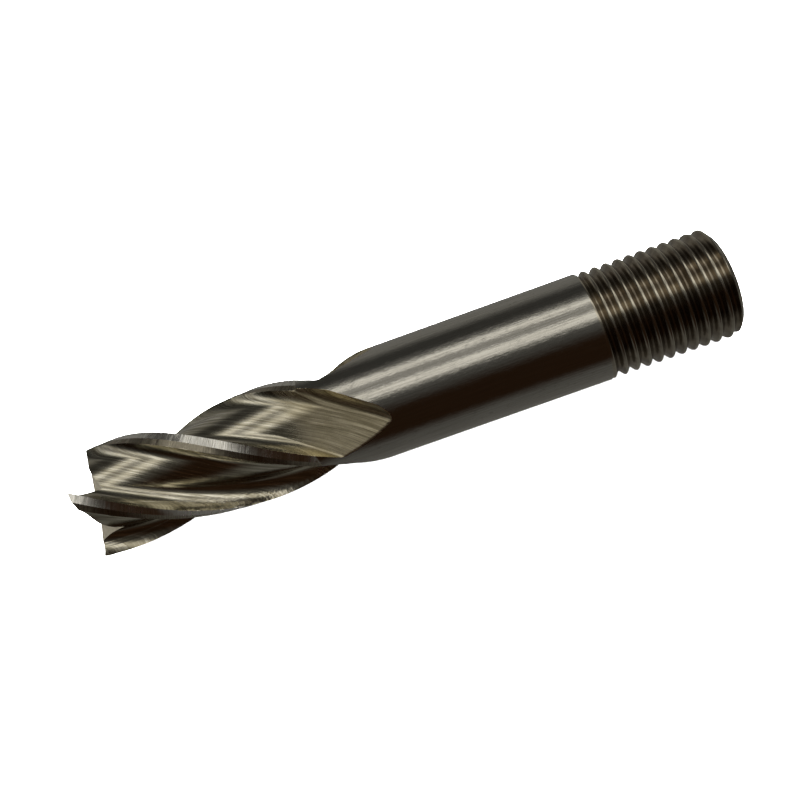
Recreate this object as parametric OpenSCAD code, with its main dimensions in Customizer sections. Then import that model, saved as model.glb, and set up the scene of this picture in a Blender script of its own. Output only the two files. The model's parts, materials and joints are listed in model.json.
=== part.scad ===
// Four-flute end mill with a screwed shank, lying along X.
// The teeth point towards -X, and the origin is the centre of the flat rear face.

/* [Overall] */
// Length from the tooth tips to the rear face
overall_len = 72; // [70:0.5:78]
// Diameter of the plain shank
shank_d = 12; // [11.9:0.05:12.1]
// Diameter over the cutting edges
cutter_d = 12.15; // [12.1:0.05:12.5]

/* [Flutes] */
// Length of full-depth flute, from the tooth tips
flute_len = 26.4; // [22:0.2:28]
// Length from the tooth tips to the end of the flute run-out
runout_len = 35.2; // [34:0.2:38]
// Length in which a flute would make one full turn
flute_lead = 67; // [60:1:80]
// Angle of the first cutting edge at the tooth tips, up from the -Y side
edge_angle = 69.3; // [0:0.1:89]
// Distance from the axis to the flat back of a flute
web_r = 3.55; // [3.3:0.05:4]
// Hook of the tooth face, in degrees
hook_angle = 10; // [4:1:14]
// Radius at the root of a flute
root_r = 1.1; // [0.6:0.1:1.4]

/* [Lands] */
// Width of the primary land behind each cutting edge
land_w = 1; // [0.6:0.1:1.3]
// Relief angle of the primary land
land_relief = 9; // [6:1:12]
// Width of the secondary land
heel_w = 1.15; // [0.8:0.05:1.4]
// Relief angle of the secondary land
heel_relief = 22; // [16:1:28]

/* [End teeth] */
// Relief angle of the end teeth
end_relief = 8; // [5:1:12]
// Second relief angle of the end teeth
end_clearance = 24; // [18:1:30]
// Width of the first relief on the end teeth
end_land_w = 0.9; // [0.6:0.1:1.2]
// Dish of the end teeth towards the axis, in degrees
end_dish = 2; // [1:0.5:4]
// Depth of the gash ahead of each end tooth
gash_depth = 2.7; // [2.2:0.1:3]
// Opening angle of the gash
gash_angle = 63; // [55:1:66]

/* [Thread] */
// Length of the thread, from the rear face
thread_len = 14.4; // [12:0.2:16]
// Diameter over the thread
thread_d = 11.9; // [11.8:0.05:12]
// Pitch of the thread, 20 turns to the inch
thread_pitch = 1.27; // [1.25:0.01:1.29]
// Depth of the thread
thread_depth = 0.75; // [0.6:0.01:0.82]
// Length of the chamfer on the rear edge
chamfer_len = 0.6; // [0.4:0.1:1]
// Radius of the flat rear face
rear_face_r = 5.2; // [4.9:0.05:5.5]

/* [Centre hole] */
// Diameter at the mouth of the 60 degree centre
centre_d = 4; // [3:0.1:5]
// Diameter of the pilot hole
pilot_d = 1.6; // [1:0.1:2]
// Depth of the pilot hole, from the rear face
pilot_len = 4.2; // [4:0.1:5]

/* [Hidden] */

teeth = 4;
tooth_pitch = 360 / teeth;
shank_r = shank_d / 2;
cutter_r = cutter_d / 2;
thread_r = thread_d / 2;
root_floor_r = thread_r - thread_depth;

// The cutting edges fade into the shank diameter over this length before the run-out
edge_fade_len = 3;
// The lands fade into the round shank over this length, just past the full flute
land_fade_len = 1.5;
land_fade_start = flute_len - 0.3;
// The run-out rises by this power, which is the curve that a round wheel leaves
runout_power = 1.9;
// The heel keeps its angle for this share of the run-out, and then closes to heel_end_angle
heel_hold = 0.55;
heel_power = 1.6;
heel_end_angle = 52;

// Points of a flute section: along the tooth face, round the root, along the back and on the lands
face_steps = 3;
root_steps = 6;
back_steps = 5;
land_steps = 2;
full_ring_step = 1.1;
runout_ring_step = 0.42;

// The head is drawn longer than its tips by end_stock, which the end facets cut away
end_stock = 0.5;
end_overlap = 0.3;
end_margin = 1;
gash_start_r = 0.7;
nose_hole_r = 0.8;
nose_hole_depth = 2.4;

// The thread groove: included angle, flat at its root, and points in each turn
groove_angle = 55;
groove_floor_w = 0.2;
groove_steps = 36;
groove_fade_turns = 0.35;
groove_rise = 0.2;
// Where the groove starts, down from the -Y side; it passes between the sides of the blank
groove_start_angle = -66.25;

steel = [0.72, 0.71, 0.68];
dark_steel = [0.33, 0.30, 0.27];
round_fn = 128;
// The threaded end is a mesh, so its round faces have these many sides
mesh_fn = 72;

function clamp01(value) = max(0, min(1, value));
function mix(from, to, share) = from * (1 - share) + to * share;
function on_circle(radius, angle) = radius * [cos(angle), sin(angle)];
function angle_of(point) = atan2(point.y, point.x);

// Local angle 0 is a cutting edge, and the next edge is one tooth_pitch on
function edge_radius(t) = mix(cutter_r, shank_r, clamp01((t - flute_len + edge_fade_len) / edge_fade_len));
function land_share(t) = clamp01((land_fade_start + land_fade_len - t) / land_fade_len);
function next_edge(t) = on_circle(edge_radius(t), tooth_pitch);
function land_end(t) = next_edge(t) + land_w * [cos(land_relief), -sin(land_relief)];
function heel_end(t) = land_end(t) + heel_w * [cos(heel_relief), -sin(heel_relief)];

// A point of a land, pushed out to the full circle where the lands have faded
function faded(point, t) = mix(on_circle(edge_radius(t), angle_of(point)), point, land_share(t));

function runout_share(t) = clamp01((t - flute_len) / (runout_len - flute_len));
function back_distance(t) =
    edge_radius(t) - (edge_radius(t) - web_r) * pow(1 - runout_share(t), runout_power);

// The heel: the line where the back of a flute meets the lands
function heel(t) =
    let (
        start = faded(heel_end(t), t),
        closing = pow(clamp01((runout_share(t) - heel_hold) / (1 - heel_hold)), heel_power)
    )
    closing <= 0 ? start : on_circle(edge_radius(t), mix(angle_of(start), heel_end_angle, closing));

// Direction of the flat back's normal
function back_angle(t) = angle_of(heel(t)) - acos(min(1, back_distance(t) / norm(heel(t))));

// Where the flat back would leave the round bar on its lower side
function back_low_angle(t) = back_angle(t) - acos(min(1, back_distance(t) / edge_radius(t)));

// The corner between the tooth face and the back, with its root radius
function face_direction() = -[cos(hook_angle), sin(hook_angle)];
function back_direction(t) = [-sin(back_angle(t)), cos(back_angle(t))];
function face_length(t) =
    let (
        normal = on_circle(1, back_angle(t)),
        edge = [edge_radius(t), 0]
    )
    (heel(t) * normal - edge * normal) / (face_direction() * normal);
function root_corner(t) = [edge_radius(t), 0] + face_length(t) * face_direction();
function half_corner(t) = acos(-face_direction() * back_direction(t)) / 2;
function root_tangent(t) =
    min(root_r / tan(half_corner(t)), 0.8 * face_length(t), 0.8 * norm(heel(t) - root_corner(t)));

// Points along the tooth face and the root, where the flute is still deep
function deep_points(t) =
    let (
        corner = root_corner(t),
        tangent = root_tangent(t),
        radius = tangent * tan(half_corner(t)),
        first = corner - tangent * face_direction(),
        last = corner + tangent * back_direction(t),
        inward = (back_direction(t) - face_direction()) / 2,
        centre = corner + inward / norm(inward) * radius / sin(half_corner(t)),
        from = angle_of(first - centre),
        swing = (angle_of(last - centre) - from + 540) % 360 - 180
    )
    [
        for (i = [0:face_steps - 1]) mix([edge_radius(t), 0], first, i / face_steps),
        for (i = [0:root_steps - 1]) centre + on_circle(radius, from + swing * i / root_steps),
        for (i = [0:back_steps - 1]) mix(last, heel(t), i / back_steps)
    ];

// Points along the round bar and the facet, where the flute has run out of the edge
function shallow_points(t) =
    let (
        low_angle = back_low_angle(t),
        low = on_circle(edge_radius(t), low_angle),
        arc_steps = face_steps + root_steps
    )
    [
        for (i = [0:arc_steps - 1]) on_circle(edge_radius(t), low_angle * i / arc_steps),
        for (i = [0:back_steps - 1]) mix(low, heel(t), i / back_steps)
    ];

function relieved_points(t) = [
    for (i = [0:land_steps - 1]) mix(heel(t), faded(land_end(t), t), i / land_steps),
    for (i = [0:land_steps - 1]) mix(faded(land_end(t), t), next_edge(t), i / land_steps)
];
function round_points(t) =
    let (from = angle_of(heel(t)))
    [
        for (i = [0:2 * land_steps - 1])
            on_circle(edge_radius(t), mix(from, tooth_pitch, i / (2 * land_steps)))
    ];

function flute_points(t) = concat(
    back_low_angle(t) < 0 ? deep_points(t) : shallow_points(t),
    land_share(t) > 0 ? relieved_points(t) : round_points(t)
);

// One closed ring of the head at distance t from the tooth tips
function ring_turn(t) = edge_angle - 360 * t / flute_lead;
function at_station(t, point, turn) =
    let (angle = angle_of(point) + turn)
    [t - overall_len, -norm(point) * cos(angle), norm(point) * sin(angle)];
function head_ring(t) =
    let (points = flute_points(t))
    [for (k = [0:teeth - 1]) for (point = points) at_station(t, point, ring_turn(t) + k * tooth_pitch)];

function even_steps(from, to, step) =
    let (count = ceil((to - from) / step))
    [for (i = [0:count - 1]) mix(from, to, i / count)];
head_stations = concat(
    even_steps(-end_stock, flute_len, full_ring_step),
    even_steps(flute_len, runout_len, runout_ring_step),
    [runout_len]
);

// A closed skin over rings that each hold the same number of points
module skin(rings) {
    count = len(rings[0]);
    last = len(rings) - 1;
    points = [for (ring = rings) for (point = ring) point];
    sides = [
        for (i = [0:last - 1]) for (j = [0:count - 1])
            let (
                a = i * count + j,
                b = i * count + (j + 1) % count
            )
            each [[a, b, a + count], [b, b + count, a + count]]
    ];
    front = [for (j = [0:count - 1]) count - 1 - j];
    rear = [for (j = [0:count - 1]) last * count + j];
    polyhedron(points, concat([front], sides, [rear]));
}

module at_each_tooth() {
    for (k = [0:teeth - 1])
        translate([-overall_len, 0, 0])
            rotate([-edge_angle - k * tooth_pitch, 0, 0])
                children();
}

// Everything ahead of an end facet that starts behind_w behind the end cutting edge.
// In this frame the edge runs towards -Y, and the tooth lies on its -Z side.
// The cut also reaches ahead_w past the edge, where its plane lies in front of the next facet.
module end_facet(angle, behind_w, start_x, ahead_w) {
    reach = cutter_r + end_margin;
    near = ahead_w - behind_w;
    outline = [[0, near], [0, -reach], [-reach, -reach], [-reach, near]];
    facet_x = [
        for (p = outline) start_x + (cutter_r + p.x) * tan(end_dish) - (p.y + behind_w) * tan(angle)
    ];
    skin([
        [for (p = outline) [-end_margin, p.x, p.y]],
        [for (i = [0:3]) [facet_x[i], outline[i].x, outline[i].y]]
    ]);
}

// The notch ahead of an end tooth, with the tooth's face as one wall
module gash() {
    tall = gash_depth + end_margin;
    translate([0, -gash_start_r, 0])
        rotate([90, 0, 0])
            linear_extrude(height = cutter_r)
                polygon([[gash_depth, 0], [-end_margin, 0], [-end_margin, tall * tan(gash_angle)]]);
}

module cutting_head() {
    color(steel)
        resize([0, 0, 0]) difference() {
            skin([for (t = head_stations) head_ring(t)]);
            at_each_tooth() end_facet(end_relief, 0, 0, end_overlap);
            at_each_tooth() end_facet(end_clearance, end_land_w, end_land_w * tan(end_relief), 0);
            at_each_tooth() gash();
            translate([-overall_len - end_margin, 0, 0])
                rotate([0, 90, 0])
                    cylinder(h = end_margin + nose_hole_depth, r = nose_hole_r, $fn = 24);
        }
}

module shank() {
    color(steel)
        translate([runout_len - overall_len, 0, 0])
            rotate([0, 90, 0])
                cylinder(h = overall_len - runout_len - thread_len, r = shank_r, $fn = round_fn);
}

// The round blank of the threaded end, with its chamfered rear edge
module threaded_blank() {
    rotate([0, 90, 0])
        rotate_extrude($fn = mesh_fn)
            polygon([
                [0, -thread_len],
                [thread_r, -thread_len],
                [thread_r, -chamfer_len],
                [rear_face_r, 0],
                [0, 0]
            ]);
}

// The helical groove, which fades in beside the shank and runs out through the rear face
function groove_turn(turns) = groove_start_angle + 360 * turns;
function groove_ring(turns) =
    let (
        share = clamp01(turns / groove_fade_turns),
        floor_r = mix(thread_r + 0.05, root_floor_r, share),
        top_r = floor_r + thread_depth + groove_rise,
        half_floor = groove_floor_w / 2,
        half_top = half_floor + (top_r - floor_r) * tan(groove_angle / 2),
        middle = half_top - thread_len + turns * thread_pitch
    )
    [
        for (corner = [
            [floor_r, -half_floor],
            [top_r, -half_top],
            [top_r, half_top],
            [floor_r, half_floor]
        ])
            [middle + corner.y, -corner.x * cos(groove_turn(turns)), -corner.x * sin(groove_turn(turns))]
    ];
module thread_groove() {
    turns = ceil(thread_len / thread_pitch) + 1;
    skin([for (i = [0:turns * groove_steps]) groove_ring(i / groove_steps)]);
}

module centre_hole() {
    cone_len = (centre_d - pilot_d) / 2 / tan(30);
    rotate([0, -90, 0])
        rotate_extrude($fn = mesh_fn)
            polygon([
                [0, -end_margin],
                [centre_d / 2 + end_margin * tan(30), -end_margin],
                [pilot_d / 2, cone_len],
                [pilot_d / 2, pilot_len],
                [0, pilot_len + pilot_d / 2]
            ]);
}

module threaded_end() {
    color(dark_steel)
        resize([0, 0, 0]) difference() {
            threaded_blank();
            thread_groove();
            centre_hole();
        }
}

cutting_head();
shank();
threaded_end();
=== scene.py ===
"""The looks of a four-flute end mill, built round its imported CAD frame.

The tool lies along X with its teeth towards -X. The frame's origin is the centre of its rear face.
Sizes below are in millimetres and angles in degrees, unless a name ends in _M.
"""
import json
import math

import bmesh
import bpy
import numpy as np
from mathutils import Matrix, Vector

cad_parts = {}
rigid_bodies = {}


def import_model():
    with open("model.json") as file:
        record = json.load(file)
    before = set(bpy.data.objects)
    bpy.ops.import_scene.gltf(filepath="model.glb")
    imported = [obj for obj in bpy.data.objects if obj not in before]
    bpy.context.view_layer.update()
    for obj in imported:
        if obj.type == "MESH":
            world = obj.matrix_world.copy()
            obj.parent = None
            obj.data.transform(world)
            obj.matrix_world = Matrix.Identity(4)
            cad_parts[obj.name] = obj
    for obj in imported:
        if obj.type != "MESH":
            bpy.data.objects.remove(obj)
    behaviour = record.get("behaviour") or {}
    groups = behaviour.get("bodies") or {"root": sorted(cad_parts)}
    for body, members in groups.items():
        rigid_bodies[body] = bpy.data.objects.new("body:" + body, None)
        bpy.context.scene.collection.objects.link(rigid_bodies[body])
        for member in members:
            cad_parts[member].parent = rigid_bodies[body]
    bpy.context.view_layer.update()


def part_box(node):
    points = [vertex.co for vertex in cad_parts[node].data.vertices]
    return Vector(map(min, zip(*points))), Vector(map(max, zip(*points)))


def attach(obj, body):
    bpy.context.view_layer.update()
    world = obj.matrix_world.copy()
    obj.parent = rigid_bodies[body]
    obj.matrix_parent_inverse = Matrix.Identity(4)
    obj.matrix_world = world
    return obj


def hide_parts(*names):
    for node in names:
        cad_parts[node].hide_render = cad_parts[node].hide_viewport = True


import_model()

MM = 0.001

# Places along the tool, from the CAD nodes. t is the distance from the tooth tips.
HEAD_LO, HEAD_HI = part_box("cutting_head")
SHANK_LO, SHANK_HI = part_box("shank")
THREAD_LO, THREAD_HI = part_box("threaded_end")
TIP_X = round(HEAD_LO.x / MM, 1)
HEAD_END = HEAD_HI.x / MM - TIP_X
SHANK_END = SHANK_HI.x / MM - TIP_X
REAR_END = THREAD_HI.x / MM - TIP_X
SHANK_R = SHANK_HI.z / MM
THREAD_R = round(THREAD_HI.z / MM, 2)

# The cutting edges
CUTTER_R = 6.06
TEETH = 4
TOOTH_PITCH = 360 / TEETH
LEAD = 67.0
TURN = 360 / LEAD
EDGE_ANGLE = 69.3

# The grinding wheel that cuts a flute. Its rim is a shallow cone between a bevel and a tight corner.
# The wheel is tilted to the axis, and it follows the helix as far as its last stop.
WHEEL_R = 62.8
WHEEL_TILT = 35.8
WHEEL_AHEAD = 31.3
WEB_R = 3.64
RIM_CONE = 11.1
RIM_LOW = 1.54
CORNER_R = 0.35
BEVEL = 43.5
BEVEL_W = 0.7
RIM_TOP = -3.2
RIM_BLEND = 0.45
LAST_STOP = 24.93
LAST_RIM_TOP = -3.75
WHEEL_STEP = 0.16
WHEEL_REACH = 14.5
SCAN_WHEEL_STEP = 0.6

# Where the flutes' polish gives way to the duller run-out facet
FACET_FADE = (22.0, 27.0)

# The lands behind each cutting edge, which end in a small step beside the run-out
LAND_W = 1.0
LAND_RELIEF = 9.0
HEEL_RELIEF = 22.0
LAND_STOP = 25.9
LAND_STOP_W = 0.7

# Radii that lie below every flute and below every land, where the search for the surface starts
FLUTE_FLOOR_R = 2.8
LAND_FLOOR_R = 4.4
# The radius at which the grain of the flutes has its true width
FLUTE_MIDDLE_R = 5.2

# The end teeth
END_RELIEF = 8.0
END_CLEARANCE = 24.0
END_LAND_W = 0.9
END_DISH = 2.0
GASH_DEPTH = 2.7
GASH_ANGLE = 63.0
GASH_START = 0.7
GASH_FLAT = 0.02
NOSE_HOLE_R = 0.8
NOSE_HOLE_DEPTH = 2.4
# The head is made longer than its tips by END_STOCK, which the end facets cut away.
# They overlap by END_OVERLAP, and the cutting solids stand END_MARGIN clear of the head.
END_STOCK = 0.5
END_OVERLAP = 0.3
END_MARGIN = 1.5

# The thread. CREST_T is where a crest crosses the -Y side, from the tooth tips.
PITCH = 1.27
THREAD_DEPTH = 0.56
CREST_T = 59.1
THREAD_FADE = 0.6
THREAD_STEP = 0.045
CHAMFER = 0.6
REAR_FACE_R = 5.2
CENTRE_R = 2.0
PILOT_R = 0.8
PILOT_DEPTH = 4.2
PILOT_TIP = 0.5
CENTRE_HALF_ANGLE = 30
CENTRE_BEVEL_W = 0.15
CENTRE_BEVEL_DEPTH = 0.12
# A narrow ring at the rim of the rear face keeps its shading flat
FACE_RIM_W = 0.05

# The radius of the first and the last ring of a turned piece, which are then closed on its axis
AXIS_R = 0.001

# Points this close to the plane where the head's two stretches meet belong to the seam
SEAM_M = 1e-7

# Edges sharper than these stay crisp under smooth shading
HEAD_CREASE = 24
TURNED_CREASE = 30


def rad(degrees):
    return degrees * math.pi / 180


def ring_points(t, radius, angle):
    """Points in metres at distance t from the tips, with angles measured from -Y up towards +Z."""
    x = np.full_like(radius, (t + TIP_X) * MM)
    return np.stack([x, -radius * np.cos(rad(angle)) * MM, radius * np.sin(rad(angle)) * MM], -1)


# ---------------------------------------------------------------- camera, floor and light

# The camera looks at the tool's axis from CAMERA_ELEVATION, level with CAMERA_T from the tips.
# Yaw, pitch and roll then turn it about its own axes.
CAMERA_T = 43.61
CAMERA_DISTANCE = 92.91
CAMERA_ELEVATION = 50.0
CAMERA_YAW = -3.146
CAMERA_PITCH = -4.706
CAMERA_ROLL = 19.578
CAMERA_LENS = 38.52
CAMERA_SHIFT_Y = -0.1

FLOOR_HALF_M = 0.6

PALE = (0.98, 0.98, 0.975, 1)


def make_camera():
    data = bpy.data.cameras.new("camera")
    data.sensor_width = 36
    data.lens = CAMERA_LENS
    data.shift_y = CAMERA_SHIFT_Y
    data.clip_start = 0.005
    data.clip_end = 20
    camera = bpy.data.objects.new("camera", data)
    bpy.context.scene.collection.objects.link(camera)
    sine, cosine = math.sin(math.radians(CAMERA_ELEVATION)), math.cos(math.radians(CAMERA_ELEVATION))
    raised = Matrix(((1, 0, 0), (0, sine, -cosine), (0, cosine, sine)))
    turn = (
        Matrix.Rotation(math.radians(CAMERA_ROLL), 3, "Z")
        @ Matrix.Rotation(math.radians(CAMERA_PITCH), 3, "X")
        @ Matrix.Rotation(math.radians(CAMERA_YAW), 3, "Y")
    )
    place = raised @ Vector((CAMERA_T + TIP_X, 0, CAMERA_DISTANCE)) * MM
    camera.matrix_world = Matrix.Translation(place) @ (raised @ turn.transposed()).to_4x4()
    bpy.context.scene.camera = camera


class Nodes:
    """A short way to write a node tree."""

    def __init__(self, tree):
        self.tree = tree
        tree.nodes.clear()

    def add(self, kind, values=None, **settings):
        node = self.tree.nodes.new(kind)
        for name, value in settings.items():
            setattr(node, name, value)
        for name, value in (values or {}).items():
            if isinstance(value, bpy.types.NodeSocket):
                self.tree.links.new(value, node.inputs[name])
            else:
                node.inputs[name].default_value = value
        return node

    def math(self, operation, a, b=0.0):
        return self.add("ShaderNodeMath", {0: a, 1: b}, operation=operation).outputs[0]

    def mix(self, share, a, b, blend="MIX"):
        node = self.add("ShaderNodeMix", {"Factor": share}, data_type="RGBA", blend_type=blend)
        for socket, value in ((node.inputs[6], a), (node.inputs[7], b)):
            if isinstance(value, bpy.types.NodeSocket):
                self.tree.links.new(value, socket)
            else:
                socket.default_value = value
        return node.outputs[2]

    def ramp(self, value, stops):
        node = self.add("ShaderNodeValToRGB", {"Fac": value})
        elements = node.color_ramp.elements
        while len(elements) < len(stops):
            elements.new(0.5)
        for element, (place, colour) in zip(elements, stops):
            element.position = place
            element.color = colour
        return node.outputs["Color"]

    def map_range(self, value, low, high, to_low=0.0, to_high=1.0, smooth=False):
        kind = "SMOOTHSTEP" if smooth else "LINEAR"
        values = {0: value, 1: low, 2: high, 3: to_low, 4: to_high}
        return self.add("ShaderNodeMapRange", values, interpolation_type=kind).outputs[0]

    def uv_map(self, name):
        return self.add("ShaderNodeUVMap", uv_map=name).outputs[0]

    def object_place(self):
        return self.add("ShaderNodeTexCoord").outputs["Object"]


# What the bright steel mirrors, by the angle about the tool's axis from -Y up towards +Z: a grey
# bench below, a dark front, two soft strip lights overhead, a dark gap and a grey back wall.
WARM = (1.0, 0.97, 0.9)
FRONT = (0.02, 0.01, 0.005)
STRIP = 1.0
BETWEEN_STRIPS = 0.35
BENCH = 0.2
GAP = 0.045


def warm(level):
    return tuple(level * part for part in WARM)


ROOM = (
    (-180, warm(BENCH)),
    (-45, warm(BENCH / 2)),
    (-25, FRONT),
    (25, FRONT),
    (45, warm(0.07)),
    (55, warm(0.1)),
    (67, warm(STRIP)),
    (76, warm(STRIP)),
    (80, warm(BETWEEN_STRIPS)),
    (94, warm(BETWEEN_STRIPS)),
    (98, warm(STRIP)),
    (105, warm(STRIP)),
    (113, warm(BENCH)),
    (125, warm(GAP)),
    (145, warm(GAP)),
    (165, warm(BENCH)),
)


def make_room():
    world = bpy.data.worlds.new("room")
    bpy.context.scene.world = world
    world.use_nodes = True
    n = Nodes(world.node_tree)
    direction = n.add("ShaderNodeTexCoord").outputs["Generated"]
    axes = n.add("ShaderNodeSeparateXYZ", {0: direction})
    front = n.math("MULTIPLY", axes.outputs["Y"], -1.0)
    angle = n.math("ARCTAN2", axes.outputs["Z"], front)
    share = n.map_range(angle, -math.pi, math.pi)
    strength = max(max(colour) for _, colour in ROOM)
    stops = [((a + 180) / 360, (*(c / strength for c in colour), 1)) for a, colour in ROOM]
    colour = n.ramp(share, stops)
    # The room is dimmer beyond the two ends of the tool
    ends = n.map_range(n.math("ABSOLUTE", axes.outputs["X"]), 0.75, 0.97, 1.0, 0.35, smooth=True)
    level = n.math("MULTIPLY", ends, strength)
    seen = n.add("ShaderNodeBackground", {"Color": colour, "Strength": level})
    pale = n.add("ShaderNodeBackground", {"Color": PALE, "Strength": 1.0})
    camera_ray = n.add("ShaderNodeLightPath").outputs["Is Camera Ray"]
    both = n.add("ShaderNodeMixShader", {0: camera_ray, 1: seen.outputs[0], 2: pale.outputs[0]})
    n.add("ShaderNodeOutputWorld", {"Surface": both.outputs[0]})


def make_softbox(name, place, size, power):
    """A lamp for the floor and the shadows. The steel mirrors the room instead of it."""
    data = bpy.data.lights.new(name, "AREA")
    data.shape = "RECTANGLE"
    data.size, data.size_y = size
    data.energy = power
    light = bpy.data.objects.new(name, data)
    bpy.context.scene.collection.objects.link(light)
    light.location = place
    middle = Vector((TIP_X * MM / 2, 0, 0))
    light.rotation_euler = (Vector(place) - middle).to_track_quat("Z", "Y").to_euler()
    light.visible_glossy = False


def make_floor():
    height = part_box("cutting_head")[0].z
    outline = ((-1, -1), (1, -1), (1, 1), (-1, 1))
    corners = [(x * FLOOR_HALF_M, y * FLOOR_HALF_M, height) for x, y in outline]
    mesh = bpy.data.meshes.new("floor")
    mesh.from_pydata(corners, [], [(0, 1, 2, 3)])
    floor = bpy.data.objects.new("floor", mesh)
    bpy.context.scene.collection.objects.link(floor)
    floor.visible_glossy = False
    material = bpy.data.materials.new("pale_floor")
    material.use_nodes = True
    n = Nodes(material.node_tree)
    finish = {"Base Color": (0.9, 0.9, 0.895, 1), "Roughness": 0.9, "Specular IOR Level": 0.0}
    shader = n.add("ShaderNodeBsdfPrincipled", finish)
    n.add("ShaderNodeOutputMaterial", {"Surface": shader.outputs[0]})
    mesh.materials.append(material)


def make_studio():
    make_camera()
    make_room()
    make_floor()
    make_softbox("ceiling_light", (-0.04, 0.1, 1.0), (1.6, 1.6), 90)
    make_softbox("front_light", (-0.2, -0.9, 0.6), (1.2, 0.8), 40)
    make_softbox("back_light", (0.1, 0.9, 0.5), (1.4, 0.8), 18)
    view = bpy.context.scene.view_settings
    view.view_transform = "Standard"
    view.look = "None"


# ---------------------------------------------------------------- materials


def steel_nodes(name):
    material = bpy.data.materials.new(name)
    material.use_nodes = True
    return material, Nodes(material.node_tree)


def finish_steel(n, colour, roughness, height, bump):
    """Metal with the given finish. Its surface rises by bump where height goes from 0 to 1."""
    raised = n.add("ShaderNodeBump", {"Height": height, "Strength": 1.0, "Distance": bump * MM})
    normal = raised.outputs[0]
    finish = {"Base Color": colour, "Metallic": 1.0, "Roughness": roughness, "Normal": normal}
    shader = n.add("ShaderNodeBsdfPrincipled", finish)
    n.add("ShaderNodeOutputMaterial", {"Surface": shader.outputs[0]})


def noise(n, vector, scale, detail, roughness):
    """Noise whose grains have the size in scale, in the vector's own units."""
    place = n.add("ShaderNodeMapping", {"Vector": vector, "Scale": scale}, vector_type="TEXTURE")
    values = {"Vector": place.outputs[0], "Scale": 1.0, "Detail": detail, "Roughness": roughness}
    return n.add("ShaderNodeTexNoise", values).outputs[0]


def ground_flute_steel():
    """Warm steel with the wheel's long grinding lines, duller on the run-out facet."""
    material, n = steel_nodes("ground_flute_steel")
    grain = n.uv_map("grain")
    place = n.add("ShaderNodeSeparateXYZ", {0: n.object_place()})
    facet_from, facet_to = ((t + TIP_X) * MM for t in FACET_FADE)
    on_facet = n.map_range(place.outputs["X"], facet_from, facet_to, smooth=True)
    fine = noise(n, grain, (3.0, 0.035, 1), 3.0, 0.6)
    coarse = noise(n, grain, (9.0, 0.28, 1), 2.0, 0.5)
    stain = noise(n, grain, (2.4, 1.4, 1), 4.0, 0.6)
    lines = n.math("ADD", n.math("MULTIPLY", fine, 0.45), n.math("MULTIPLY", coarse, 0.55))
    stained = n.map_range(stain, 0.35, 0.68, smooth=True)
    base = n.mix(stained, (0.94, 0.90, 0.77, 1), (0.74, 0.70, 0.57, 1))
    colour = n.mix(n.map_range(lines, 0.62, 0.42), base, (0.36, 0.33, 0.245, 1))
    colour = n.mix(on_facet, colour, (1.0, 0.955, 0.83, 1), "MULTIPLY")
    polish = n.map_range(fine, 0.3, 0.7, 0.11, 0.21)
    roughness = n.math("ADD", polish, n.math("MULTIPLY", on_facet, 0.22))
    finish_steel(n, colour, roughness, lines, 0.012)
    return material


def land_steel(name, low, high, rough):
    """A land with the cross lines of a cup wheel, and slow waves along it that catch the lights."""
    material, n = steel_nodes(name)
    grain = n.uv_map("grain")
    cross = noise(n, grain, (0.07, 2.5, 1), 3.0, 0.6)
    waves = noise(n, grain, (1.0, 4.0, 1), 2.0, 0.5)
    height = n.math("ADD", n.math("MULTIPLY", cross, 0.12), waves)
    colour = n.mix(n.map_range(cross, 0.35, 0.6), low, high)
    roughness = n.map_range(waves, 0.35, 0.65, rough, rough + 0.12)
    finish_steel(n, colour, roughness, height, 0.16)
    return material


def ground_land_steel():
    return land_steel("ground_land_steel", (0.66, 0.64, 0.58, 1), (0.92, 0.91, 0.86, 1), 0.18)


def heel_land_steel():
    return land_steel("heel_land_steel", (0.24, 0.215, 0.165, 1), (0.42, 0.385, 0.30, 1), 0.24)


def end_face_steel():
    """The end facets and gashes, with streaks from the grinding wheel. Its grain is in metres."""
    material, n = steel_nodes("end_face_steel")
    place = n.object_place()
    streaks = noise(n, place, (0.0004, 0.00004, 0.0012), 3.0, 0.6)
    colour = n.mix(n.map_range(streaks, 0.35, 0.65), (0.34, 0.31, 0.25, 1), (0.55, 0.52, 0.43, 1))
    finish_steel(n, colour, 0.32, streaks, 0.012)
    return material


def polished_shank_steel():
    """The round bar: fine grinding rings, long rubbed bands, and a few stains and specks."""
    material, n = steel_nodes("polished_shank_steel")
    grain = n.uv_map("grain")
    rings = noise(n, grain, (0.045, 6.0, 1), 2.0, 0.5)
    bands = noise(n, grain, (6.0, 0.16, 1), 2.0, 0.5)
    marks = noise(n, grain, (0.9, 0.5, 1), 5.0, 0.65)
    specks = noise(n, grain, (0.16, 0.09, 1), 3.0, 0.6)
    colour = n.mix(n.map_range(bands, 0.35, 0.65), (0.57, 0.555, 0.505, 1), (0.485, 0.47, 0.42, 1))
    stained = n.map_range(marks, 0.56, 0.72, 0.0, 0.45, smooth=True)
    colour = n.mix(stained, colour, (0.36, 0.34, 0.30, 1))
    colour = n.mix(n.map_range(specks, 0.63, 0.72, 0.0, 0.75), colour, (0.12, 0.10, 0.08, 1))
    polish = n.map_range(bands, 0.3, 0.7, 0.09, 0.13)
    roughness = n.math("ADD", polish, n.map_range(marks, 0.5, 0.7, 0.0, 0.1))
    height = n.math("ADD", n.math("MULTIPLY", rings, 0.06), n.math("MULTIPLY", bands, 0.3))
    finish_steel(n, colour, roughness, n.math("ADD", height, marks), 0.016)
    return material


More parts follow.
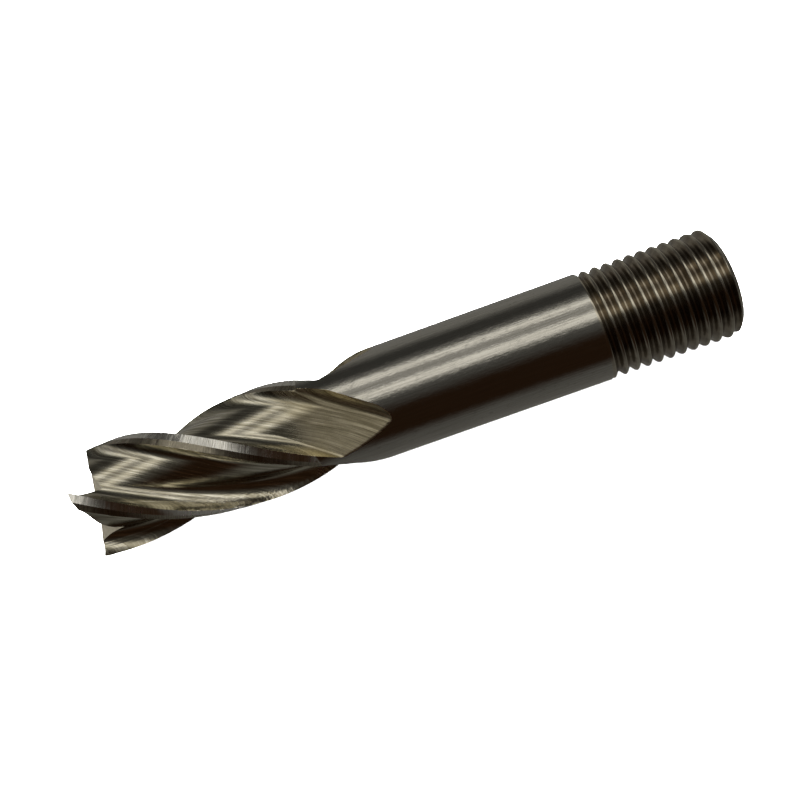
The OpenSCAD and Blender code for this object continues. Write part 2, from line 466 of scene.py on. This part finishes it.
def oiled_thread_steel():
    """Dark oily steel, bright where the crests rub, with painted shade darkening the roots."""
    material, n = steel_nodes("oiled_thread_steel")
    grain = n.uv_map("grain")
    depth = n.add("ShaderNodeAttribute", attribute_name="depth").outputs["Fac"]
    stain = noise(n, grain, (2.2, 2.2, 1), 4.0, 0.6)
    turned = noise(n, grain, (0.05, 4.0, 1), 3.0, 0.5)
    dark = n.mix(n.map_range(stain, 0.35, 0.65), (0.38, 0.335, 0.26, 1), (0.19, 0.16, 0.12, 1))
    # Painted shade: the colour darkens with depth below the crests, so the roots look shaded. The crests
    # are also lighter from real rubbing.
    depth_for_wear_and_shade = n.math("ADD", depth, n.math("MULTIPLY", stain, 0.25))
    crest = n.map_range(depth_for_wear_and_shade, 0.30, 0.10, 0.0, 0.8, smooth=True)
    colour = n.mix(crest, dark, (0.64, 0.60, 0.50, 1))
    finish_steel(n, colour, n.map_range(stain, 0.3, 0.7, 0.14, 0.24), turned, 0.004)
    return material


# ---------------------------------------------------------------- meshes


def grain_mesh(name, vertices, faces, uv, materials, material_index):
    """A mesh whose map, called grain, holds one place for each corner of each face."""
    mesh = bpy.data.meshes.new(name)
    mesh.from_pydata(vertices.tolist(), [], faces)
    layer = mesh.uv_layers.new(name="grain")
    layer.data.foreach_set("uv", uv.astype(np.float32).ravel())
    for material in materials:
        mesh.materials.append(material)
    mesh.polygons.foreach_set("material_index", material_index.astype(np.int32))
    mesh.update()
    return mesh


def make_piece(mesh, node, crease):
    """The object for a finished mesh, smooth except at its creases, tied to its CAD node."""
    mesh.polygons.foreach_set("use_smooth", np.ones(len(mesh.polygons), bool))
    mesh.set_sharp_from_angle(angle=math.radians(crease))
    piece = bpy.data.objects.new(mesh.name, mesh)
    bpy.context.scene.collection.objects.link(piece)
    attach(piece, "root")
    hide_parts(node)


def unwrapped(angle):
    """Corner angles of faces, with those past the full turn moved next to their face's first corner."""
    return np.where(angle - angle[:, :1] < -180, angle + 360, angle)


def grid_faces(rows, columns):
    """Quads of a tube whose rows are closed rings, wound so that they face outwards."""
    row, column = np.meshgrid(np.arange(rows - 1), np.arange(columns), indexing="ij")
    after = (column + 1) % columns
    a = row * columns + column
    b = row * columns + after
    return np.stack([a, a + columns, b + columns, b], -1).reshape(-1, 4)


# ---------------------------------------------------------------- cutting head

# The kinds of surface on the head, which are also its material slots
FLUTE, LAND, HEEL_LAND, ROUND, END_FACE = range(5)


def blended(value, width):
    """The larger of value and 0, rounded off where value is within width of 0."""
    curve = (np.clip(value, -width, width) + width) ** 2 / (4 * width)
    return np.where(value > width, value, curve)


def wheel_overlap(t, local, radius, stop, rim_top):
    """How far points lie inside the wheel when it is at stop. All the values may be arrays."""
    ahead = t - stop
    turn = rad(local - WHEEL_AHEAD - TURN * ahead)
    up = radius * np.cos(turn)
    side = -radius * np.sin(turn)
    tilt = rad(WHEEL_TILT)
    along = ahead * math.cos(tilt) + side * math.sin(tilt)
    across = side * math.cos(tilt) - ahead * math.sin(tilt)
    from_axis = np.hypot(along, WEB_R + WHEEL_R - up)
    cone = np.maximum(RIM_LOW - across, 0) * math.tan(rad(RIM_CONE))
    bevel = blended(rim_top - across, RIM_BLEND) * math.tan(rad(BEVEL))
    corner = np.clip((across - RIM_LOW) / CORNER_R, 0, 1)
    rounding = CORNER_R * (1 - np.sqrt(1 - corner * corner))
    inside = np.minimum(WHEEL_R - cone - bevel - rounding - from_axis, RIM_LOW + CORNER_R - across)
    return np.minimum(inside, across - rim_top + BEVEL_W)


def flute_overlap(t, local, radius, step):
    """The same for the wheel's whole pass, which ends at the last stop with a wider cut."""
    stops = np.arange(min(LAST_STOP, t + WHEEL_REACH), t - WHEEL_REACH, -step)
    passed = wheel_overlap(t, local[..., None], radius[..., None], stops, RIM_TOP).max(-1)
    last = wheel_overlap(t, local, radius, LAST_STOP, LAST_RIM_TOP)
    return np.maximum(passed, last)


def past_land_stop(t):
    return max(0.0, (t - LAND_STOP) / LAND_STOP_W)


def land_overlap(t, local, radius, _step):
    """How far points lie outside the two lands behind the next edge. No wheel has to be stepped."""
    behind = radius * np.sin(rad(TOOTH_PITCH - local))
    up = radius * np.cos(rad(TOOTH_PITCH - local))
    relief, heel_relief = rad(LAND_RELIEF), rad(HEEL_RELIEF)
    end_behind = LAND_W * math.cos(relief)
    end_up = CUTTER_R - LAND_W * math.sin(relief)
    land = (up - CUTTER_R) * math.cos(relief) + behind * math.sin(relief)
    heel = (up - end_up) * math.cos(heel_relief) + (behind - end_behind) * math.sin(heel_relief)
    return np.where(local > TOOTH_PITCH / 2, np.maximum(land, heel) - past_land_stop(t), -1.0)


def bar_radius(t):
    """The radius of the uncut bar: the circle of the cutting edges, then the plain shank."""
    return CUTTER_R + (SHANK_R - CUTTER_R) * min(1.0, past_land_stop(t))


# A section is measured along rays from the axis, whose angle grows by RAY_SHEAR with each mm of radius.
# They are close together on the tooth face and near the heel, where the section turns fast. A pair
# of rays holds the heel's sharp edge, and LAND_RAY is the line between the two lands.
RAY_SHEAR = 3.0
FINE_RAY = 0.4
COARSE_RAY = 1.0
LAND_RAY = 80.72
HEEL_RAYS = (73.56, 73.58)
RAYS = np.sort(
    np.concatenate(
        [
            np.arange(0, 9, FINE_RAY),
            np.arange(9, 62, COARSE_RAY),
            np.arange(62.1, TOOTH_PITCH, FINE_RAY),
            HEEL_RAYS,
            [LAND_RAY],
        ]
    )
)
RAY_COUNT = len(RAYS) * TEETH
SCAN_POINTS = 44
HALVINGS = 9
# Two surfaces this close count as one
SAME_R = 1e-4


def outermost(overlap, t, floor_r, top_r):
    """The radius on each ray beyond which all is cut away, found by a scan and then by halving."""
    scan = np.linspace(floor_r, top_r, SCAN_POINTS)
    local = RAYS[:, None] - RAY_SHEAR * (top_r - scan)[None, :]
    solid = overlap(t, local, scan[None, :] + 0 * local, SCAN_WHEEL_STEP) <= 0
    reached = SCAN_POINTS - 1 - np.argmax(solid[:, ::-1], axis=1)
    low = scan[reached]
    high = scan[np.minimum(reached + 1, SCAN_POINTS - 1)]
    for _ in range(HALVINGS):
        middle = (low + high) / 2
        hit = overlap(t, RAYS - RAY_SHEAR * (top_r - middle), middle, WHEEL_STEP) > 0
        high = np.where(hit, middle, high)
        low = np.where(hit, low, middle)
    return np.where(reached == SCAN_POINTS - 1, top_r, (low + high) / 2)


# The section is the same along the flute as far as STEADY_END, and changes fastest past RUNOUT_START.
# The end teeth are cut before TEETH_END.
STEADY_END = 10.0
RUNOUT_START = 18.0
TEETH_END = 6.0
STATION_STEP = 0.25
RUNOUT_STEP = 0.12


def head_stations():
    flutes = np.arange(-END_STOCK, RUNOUT_START, STATION_STEP)
    runout = np.arange(RUNOUT_START, HEAD_END - RUNOUT_STEP / 2, RUNOUT_STEP)
    return np.concatenate([flutes, runout, [HEAD_END]])


def head_rows(stations):
    """For each station of the head, the radius, local angle and kind of surface on every ray."""
    steady = outermost(flute_overlap, 0.0, FLUTE_FLOOR_R, CUTTER_R)
    ground = np.where(RAYS > LAND_RAY - FINE_RAY / 2, LAND, HEEL_LAND)
    rows = []
    for t in stations:
        top = bar_radius(t)
        flute = steady if t < STEADY_END else outermost(flute_overlap, t, FLUTE_FLOOR_R, top)
        land = outermost(land_overlap, t, LAND_FLOOR_R, top)
        radius = np.minimum(flute, land)
        kind = np.where(flute < top - SAME_R, FLUTE, ROUND)
        kind = np.where(land < flute - SAME_R, ground, kind)
        rows.append((t, radius, RAYS - RAY_SHEAR * (top - radius), kind))
    return rows


def turned_axes(t, side, angle):
    """Places on the unrolled head, along and across lines that lie at angle to the tool's axis."""
    cosine, sine = math.cos(angle), math.sin(angle)
    return np.stack([t * cosine + side * sine, side * cosine - t * sine], -1)


def head_surface(rows):
    """The points, faces, grain map and kinds of surface of a stretch of the head."""
    tooth = np.repeat(np.arange(TEETH), len(RAYS)) * TOOTH_PITCH
    vertices, kinds, unrolled = [], [], []
    for t, radius, local, kind in rows:
        start = EDGE_ANGLE - TURN * t + tooth
        vertices.append(ring_points(t, np.tile(radius, TEETH), start + np.tile(local, TEETH)))
        kinds.append(np.tile(kind, TEETH))
        unrolled.append(start + np.tile(RAYS, TEETH))
    faces = grid_faces(len(rows), RAY_COUNT)
    corner_kind = np.concatenate(kinds)[faces]
    least, most = corner_kind.min(-1), corner_kind.max(-1)
    face_kind = np.where((least == LAND) & (most == HEEL_LAND), HEEL_LAND, least)

    # The grain follows the wheel's path in the flutes, the helix on the lands, and the bar elsewhere
    t = np.repeat([row[0] for row in rows], RAY_COUNT)[faces]
    angle = rad(unwrapped(np.concatenate(unrolled)[faces]))
    side = -angle * FLUTE_MIDDLE_R
    flute_uv = turned_axes(t, side, rad(WHEEL_TILT))
    land_uv = turned_axes(t, side, math.atan(2 * math.pi * SHANK_R / LEAD))
    round_uv = np.stack([t, angle * SHANK_R], -1)
    kind = face_kind[:, None, None]
    uv = np.where((kind == LAND) | (kind == HEEL_LAND), land_uv, flute_uv)
    uv = np.where(kind == ROUND, round_uv, uv)
    return np.concatenate(vertices), faces, uv.reshape(-1, 2), face_kind


def add_prism(bm, front, back):
    """A closed prism between two rings of four points."""
    ring = [[bm.verts.new(p) for p in points] for points in (front, back)]
    for i in range(4):
        j = (i + 1) % 4
        bm.faces.new((ring[0][i], ring[0][j], ring[1][j], ring[1][i]))
    bm.faces.new(ring[0][::-1])
    bm.faces.new(ring[1])


def tooth_frame(k):
    """Takes a point beside tooth k to the tool's frame. The edge runs along -Y, the tooth is at -Z."""
    angle = -math.radians(EDGE_ANGLE + k * TOOTH_PITCH)
    place = Matrix.Translation((TIP_X * MM, 0, 0)) @ Matrix.Rotation(angle, 4, "X")
    return place @ Matrix.Scale(MM, 4)


def end_facet(relief, behind, start, ahead):
    """All that lies ahead of a facet which starts behind the edge, as two rings of points."""
    reach = CUTTER_R + END_MARGIN
    near = ahead - behind
    outline = ((0, near), (0, -reach), (-reach, -reach), (-reach, near))
    facet = []
    for y, z in outline:
        dished = (CUTTER_R + y) * math.tan(math.radians(END_DISH))
        facet.append((start + dished - (z + behind) * math.tan(math.radians(relief)), y, z))
    return [(-END_MARGIN, y, z) for y, z in outline], facet


def gash():
    """The notch ahead of an end tooth, as two rings of points. Its bottom is a narrow flat."""
    rise = (GASH_DEPTH + END_MARGIN) * math.tan(math.radians(GASH_ANGLE))
    outline = ((GASH_DEPTH, 0), (-END_MARGIN, 0), (-END_MARGIN, rise), (GASH_DEPTH, GASH_FLAT))
    return [[(x, -y, z) for x, z in outline] for y in (GASH_START, GASH_START + CUTTER_R)]


def prism_mesh(place, rings):
    bm = bmesh.new()
    add_prism(bm, *([place @ Vector(p) for p in ring] for ring in rings))
    bmesh.ops.recalc_face_normals(bm, faces=bm.faces)
    mesh = bpy.data.meshes.new("cutter")
    bm.to_mesh(mesh)
    bm.free()
    return mesh


def nose_hole_mesh():
    depth = NOSE_HOLE_DEPTH + END_MARGIN
    middle = Matrix.Translation(((TIP_X + NOSE_HOLE_DEPTH - depth / 2) * MM, 0, 0))
    bm = bmesh.new()
    bmesh.ops.create_cone(
        bm,
        cap_ends=True,
        segments=48,
        radius1=NOSE_HOLE_R * MM,
        radius2=NOSE_HOLE_R * MM,
        depth=depth * MM,
        matrix=middle @ Matrix.Rotation(math.pi / 2, 4, "Y"),
    )
    mesh = bpy.data.meshes.new("cutter")
    bm.to_mesh(mesh)
    bm.free()
    return mesh


def make_end_cutters():
    """The solids that grind the four end teeth out of the head."""
    land_depth = END_LAND_W * math.tan(math.radians(END_RELIEF))
    shapes = (
        end_facet(END_RELIEF, 0, 0, END_OVERLAP),
        end_facet(END_CLEARANCE, END_LAND_W, land_depth, 0),
        gash(),
    )
    cutters = [prism_mesh(tooth_frame(k), rings) for k in range(TEETH) for rings in shapes]
    return cutters + [nose_hole_mesh()]


def cut(mesh, cutters, material):
    """Cuts each of the cutters out of a mesh, and gives the new faces their own material."""
    target = bpy.data.objects.new("blank", mesh)
    scene = bpy.context.scene.collection
    scene.objects.link(target)
    group = bpy.data.collections.new("cutters")
    scene.children.link(group)
    for cutter in cutters:
        cutter.materials.append(material)
        group.objects.link(bpy.data.objects.new("cutter", cutter))
    modifier = target.modifiers.new("cut", "BOOLEAN")
    modifier.operation = "DIFFERENCE"
    modifier.solver = "EXACT"
    modifier.operand_type = "COLLECTION"
    modifier.collection = group
    modifier.material_mode = "TRANSFER"
    modifier.use_self = True
    depsgraph = bpy.context.evaluated_depsgraph_get()
    made = bpy.data.meshes.new_from_object(target.evaluated_get(depsgraph), depsgraph=depsgraph)
    for o in list(group.objects):
        bpy.data.objects.remove(o)
    bpy.data.collections.remove(group)
    bpy.data.objects.remove(target)
    return made


def head_part(name, rows, materials, capped):
    """A stretch of the head as a mesh, closed by a flat face at its rear, and at its front if capped."""
    vertices, faces, uv, kinds = head_surface(rows)
    rear = list(range(len(vertices) - RAY_COUNT, len(vertices)))[::-1]
    caps = [list(range(RAY_COUNT)), rear] if capped else [rear]
    uv = np.concatenate([uv, np.zeros((len(caps) * RAY_COUNT, 2))])
    index = np.concatenate([kinds, [END_FACE] * len(caps)])
    return grain_mesh(name, vertices, faces.tolist() + caps, uv, materials, index)


def make_cutting_head(materials):
    """Only the front stretch is cut by the end cutters. It is then sewn to the back stretch."""
    rows = head_rows(head_stations())
    split = next(i for i, row in enumerate(rows) if row[0] > TEETH_END - STATION_STEP / 2)
    seam_x = (rows[split][0] + TIP_X) * MM
    blank = head_part("front", rows[: split + 1], materials, True)
    front = cut(blank, make_end_cutters(), materials[END_FACE])
    back = head_part("back", rows[split:], materials, False)
    bm = bmesh.new()
    bm.from_mesh(front)
    cap = [f for f in bm.faces if all(abs(v.co.x - seam_x) < SEAM_M for v in f.verts)]
    bmesh.ops.delete(bm, geom=cap, context="FACES_ONLY")
    bm.from_mesh(back)
    seam = [v for v in bm.verts if abs(v.co.x - seam_x) < SEAM_M]
    bmesh.ops.remove_doubles(bm, verts=seam, dist=10 * SEAM_M)
    mesh = bpy.data.meshes.new("ground_cutting_head")
    bm.to_mesh(mesh)
    bm.free()
    for material in materials:
        mesh.materials.append(material)
    make_piece(mesh, "cutting_head", HEAD_CREASE)


# ---------------------------------------------------------------- shank and threaded end

# The angles of the points in a turned ring
AROUND = np.arange(0, 360, 1.5)
SHANK_RINGS = 60


def close_on_axis(mesh):
    """Draws each of the smallest rings together into one point, which closes the piece."""
    bm = bmesh.new()
    bm.from_mesh(mesh)
    ring = [v for v in bm.verts if math.hypot(v.co.y, v.co.z) < 2 * AXIS_R * MM]
    bmesh.ops.remove_doubles(bm, verts=ring, dist=4 * AXIS_R * MM)
    bm.to_mesh(mesh)
    bm.free()


def turned_piece(name, node, rings, material):
    """A turned piece from rings: a distance from the tips, and a radius at each angle in AROUND."""
    t_all = [t for t, _ in rings]
    radii = [np.broadcast_to(radius, AROUND.shape) for _, radius in rings]
    vertices = np.concatenate([ring_points(t, radius + 0.0, AROUND) for t, radius in zip(t_all, radii)])
    faces = grid_faces(len(rings), len(AROUND))
    angle = unwrapped(np.tile(AROUND, len(rings))[faces])
    t = np.repeat(t_all, len(AROUND))[faces]
    uv = np.stack([t, rad(angle) * SHANK_R], -1)
    mesh = grain_mesh(name, vertices, faces.tolist(), uv, [material], np.zeros(len(faces)))
    depth = mesh.attributes.new("depth", "FLOAT", "POINT")
    depth.data.foreach_set("value", (THREAD_R - np.concatenate(radii)).astype(np.float32))
    close_on_axis(mesh)
    make_piece(mesh, node, TURNED_CREASE)


def make_shank(material):
    side = [(t, SHANK_R) for t in np.linspace(HEAD_END, SHANK_END, SHANK_RINGS)]
    rings = [(HEAD_END, AXIS_R), *side, (SHANK_END, AXIS_R)]
    turned_piece("polished_shank", "shank", rings, material)


def thread_radius(t):
    """The thread's rounded crests and roots, which fade in beside the shank and end in a chamfer."""
    from_crest = (t - CREST_T) / PITCH + AROUND / 360
    profile = 0.5 - 0.5 * np.cos(2 * math.pi * from_crest)
    fade = np.clip((t - SHANK_END) / THREAD_FADE, 0, 1)
    chamfer = REAR_FACE_R + (THREAD_R - REAR_FACE_R) * np.clip((REAR_END - t) / CHAMFER, 0, 1)
    return np.minimum(THREAD_R - THREAD_DEPTH * fade * profile, chamfer)


def make_thread(material):
    side = [(t, thread_radius(t)) for t in (*np.arange(SHANK_END, REAR_END, THREAD_STEP), REAR_END)]
    mouth = REAR_END - CENTRE_BEVEL_DEPTH
    cone_end = mouth - (CENTRE_R - PILOT_R) / math.tan(math.radians(CENTRE_HALF_ANGLE))
    face = [
        (REAR_END, REAR_FACE_R - FACE_RIM_W),
        (REAR_END, (REAR_FACE_R + CENTRE_R) / 2),
        (REAR_END, CENTRE_R + CENTRE_BEVEL_W),
    ]
    centre_hole = [
        (mouth, CENTRE_R),
        (cone_end, PILOT_R),
        (REAR_END - PILOT_DEPTH, PILOT_R),
        (REAR_END - PILOT_DEPTH - PILOT_TIP, AXIS_R),
    ]
    rings = [(SHANK_END, AXIS_R), *side, *face, *centre_hole]
    turned_piece("screwed_end", "threaded_end", rings, material)


make_studio()
shank_steel = polished_shank_steel()
make_cutting_head(
    [ground_flute_steel(), ground_land_steel(), heel_land_steel(), shank_steel, end_face_steel()]
)
make_shank(shank_steel)
make_thread(oiled_thread_steel())
